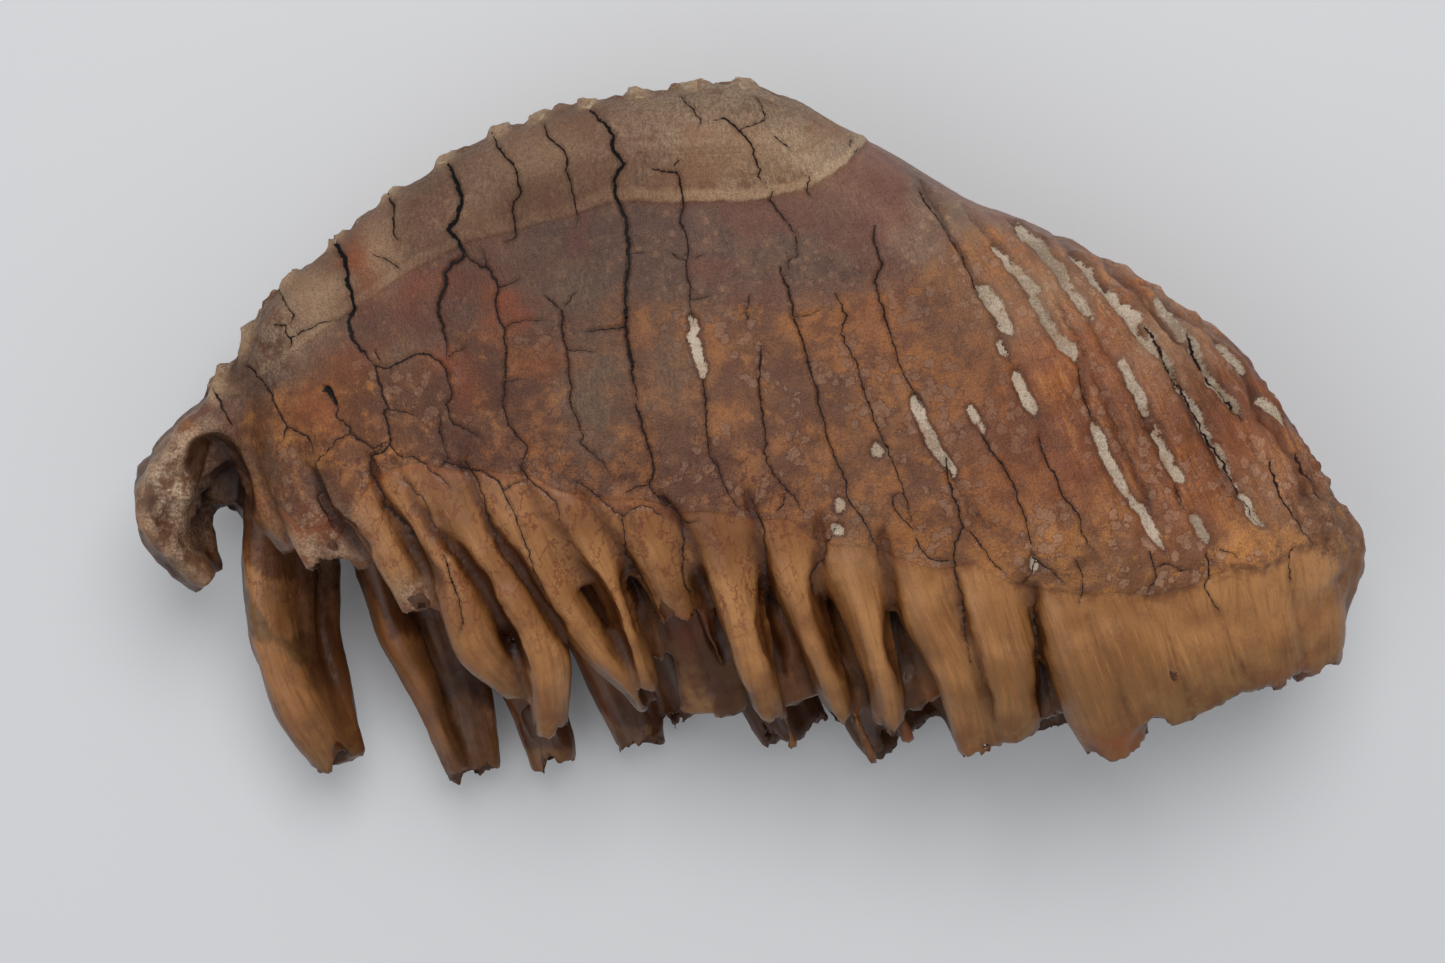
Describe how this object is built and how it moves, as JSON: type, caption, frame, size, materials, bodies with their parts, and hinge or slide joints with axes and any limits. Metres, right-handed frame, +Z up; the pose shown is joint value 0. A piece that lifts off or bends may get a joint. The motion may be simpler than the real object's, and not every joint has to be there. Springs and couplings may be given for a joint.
{
  "type": "whole woolly mammoth molar",
  "caption": "Whole woolly mammoth molar lying on its side: a cracked brown crown of fused upright plates with a ridged chewing edge, above rows of long curved hollow roots.",
  "frame": {"origin": "centre of the tooth's box, on the table that it lies on", "axes": "+X along the tooth from its front to its back, +Y from the root tips to the chewing edge, +Z up from the side that it lies on to the side that shows"},
  "size_m": [0.3152, 0.1854, 0.0908],
  "materials": {
    "tooth": "satin honey-brown fossil tooth, matt grey-tan towards the chewing edge, with dark cracks and grey-white cement"
  },
  "bodies": {
    "root": {"molar": "tooth"}
  },
  "joints": []
}
